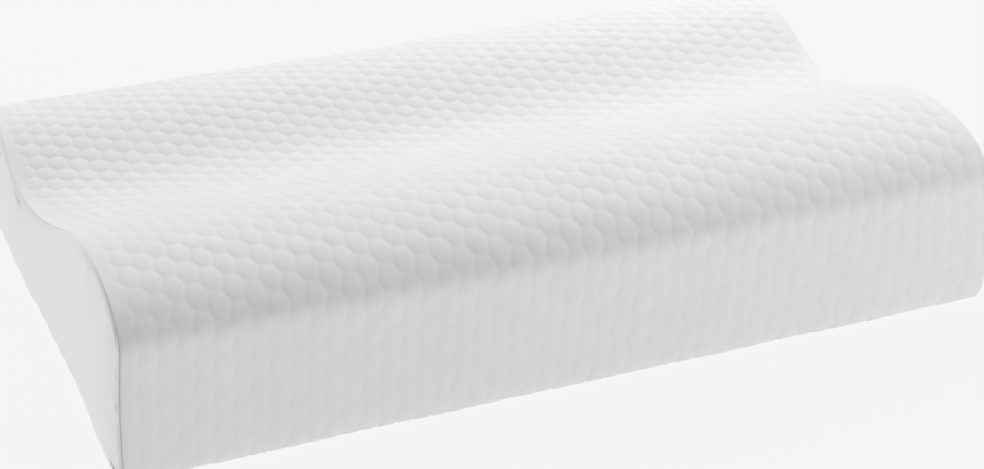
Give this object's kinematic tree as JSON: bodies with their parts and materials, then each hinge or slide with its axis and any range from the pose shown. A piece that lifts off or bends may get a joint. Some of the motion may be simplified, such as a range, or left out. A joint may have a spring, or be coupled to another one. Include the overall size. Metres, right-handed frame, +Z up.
{
  "type": "bed pillow",
  "caption": "Contour bed pillow: two-lobed foam core in a thin liner, inside a zipped cover of honeycomb-quilted knit with plain end panels.",
  "frame": {"origin": "under the middle of the pillow, on the plane that it rests on", "axes": "+X along the length, -Y towards the high lobe, +Z up"},
  "size_m": [0.6, 0.35, 0.126],
  "materials": {
    "quilted_knit": "matte",
    "plain_knit": "matte",
    "liner_jersey": "matte",
    "memory_foam": "matte",
    "zip_tape": "matte",
    "zip_nylon": "satin",
    "zip_metal": "satin",
    "label_satin": "satin"
  },
  "bodies": {
    "pillow": {"foam_core": "memory_foam", "liner_sleeve": "liner_jersey", "liner_end_left": "liner_jersey", "liner_end_right": "liner_jersey", "cover_wrap": "quilted_knit", "cover_end_left": "plain_knit", "cover_end_right": "plain_knit", "seam_welt_left": "plain_knit", "seam_welt_right": "plain_knit", "zip_tape_upper": "zip_tape", "zip_tape_lower": "zip_tape", "zip_coil_upper": "zip_nylon", "zip_coil_lower": "zip_nylon", "zip_top_stop_upper": "zip_metal", "zip_top_stop_lower": "zip_metal", "zip_bottom_stop": "zip_metal", "care_label": "label_satin"},
    "slider": {"zip_slider": "zip_metal"},
    "pull": {"zip_pull": "zip_metal"}
  },
  "joints": [
    {"name": "zip_slide", "type": "slide", "parent": "pillow", "child": "slider", "axis": [-1, 0, 0], "range_m": [0, 0.465], "deforming": ["zip_coil_upper", "zip_coil_lower"]},
    {"name": "pull_hinge", "type": "hinge", "parent": "slider", "child": "pull", "pos_m": [0.232, 0.17317, 0.01977], "axis": [0, -0.2505, -0.9681], "range_deg": [0, 170]}
  ]
}
